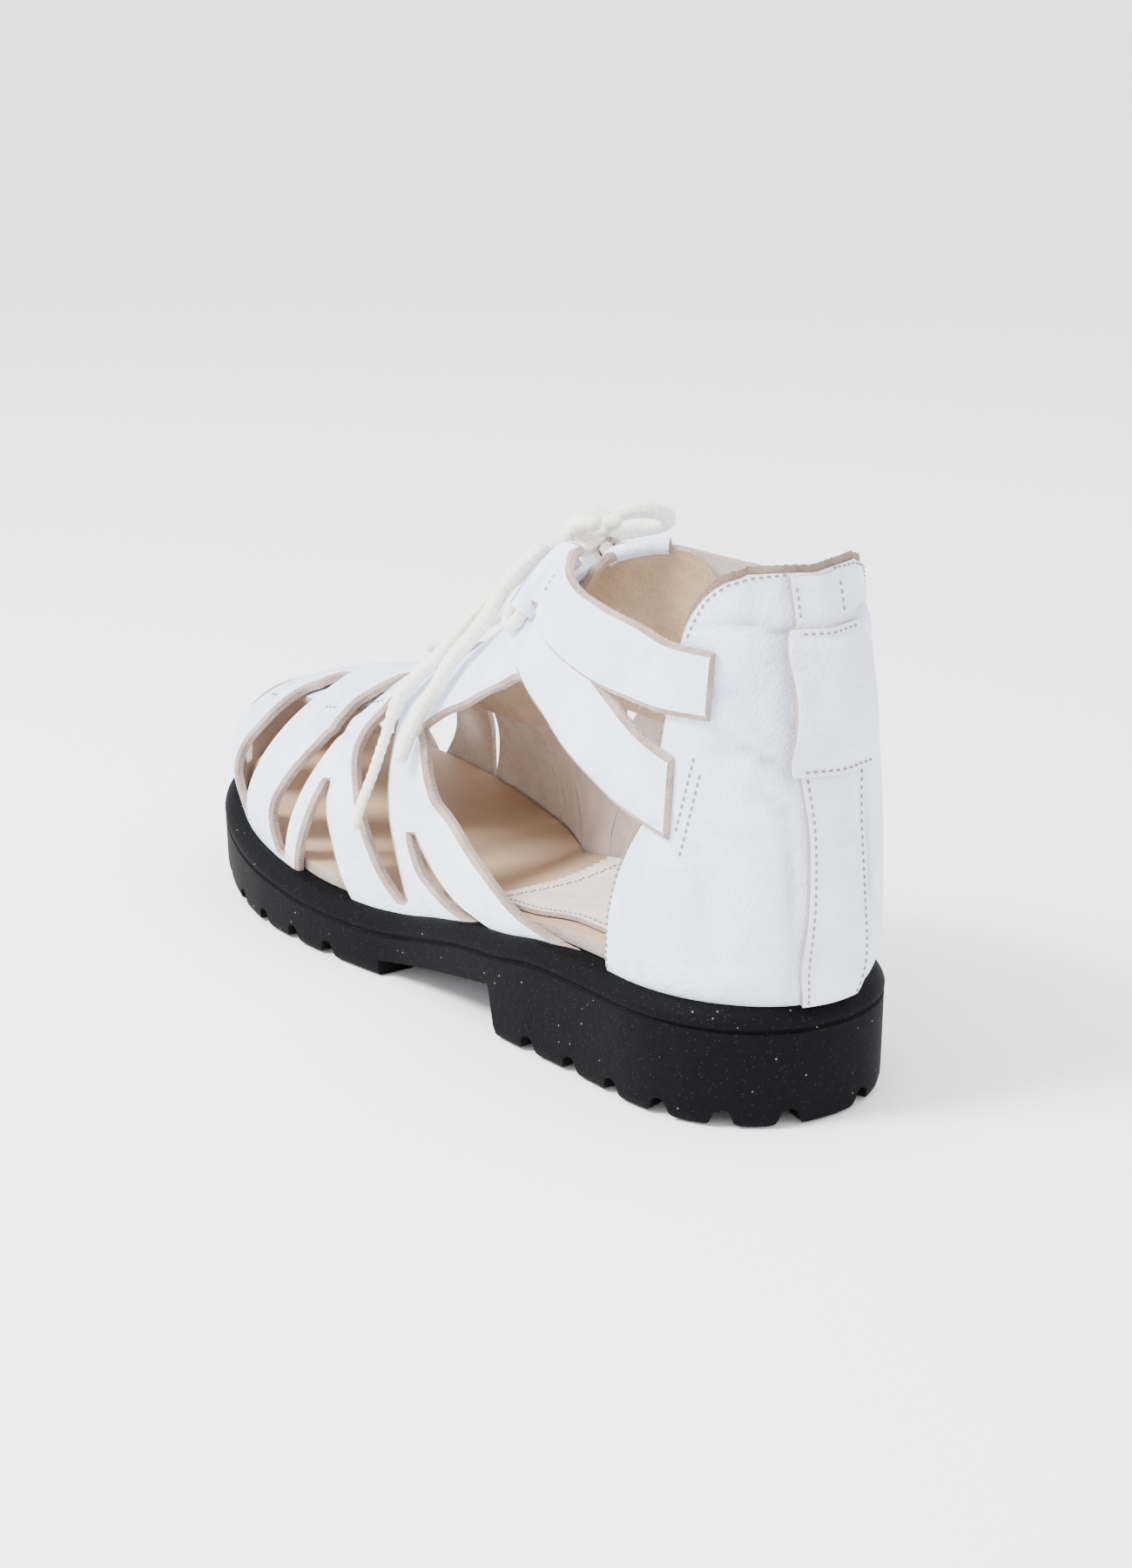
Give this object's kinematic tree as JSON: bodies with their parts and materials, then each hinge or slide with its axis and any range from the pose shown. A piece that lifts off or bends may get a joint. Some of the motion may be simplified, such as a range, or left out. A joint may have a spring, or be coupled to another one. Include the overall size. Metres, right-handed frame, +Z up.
{
  "type": "gurkha sandal",
  "caption": "Ankle-high lace-up sandal in white leather, its upper cut into curved straps, on a black lugged unit sole.",
  "frame": {"origin": "on the floor, in the middle of the heel tread", "axes": "+X towards the toe, +Y towards the outer (lateral) side of this left shoe, +Z up"},
  "size_m": [0.2656, 0.0959, 0.1296],
  "materials": {
    "sole_rubber": "matt moulded microrubber",
    "insole_leather": "smooth tan vegetable leather",
    "sock_leather": "soft lining leather",
    "upper_leather": "thick white full-grain leather",
    "tongue_leather": "white leather with a tan suede back",
    "lace_cotton": "soft round cotton cord, off-white"
  },
  "bodies": {
    "root": {"outsole": "sole_rubber", "insole": "insole_leather", "heel_sock": "sock_leather", "upper": "upper_leather", "tongue": "tongue_leather", "heel_strip": "upper_leather", "lace_bars": "lace_cotton", "lace_knot": "lace_cotton", "lace_end_long": "lace_cotton", "lace_end_short": "lace_cotton", "lace_loop_front": "lace_cotton", "lace_loop_rear": "lace_cotton"}
  },
  "joints": []
}
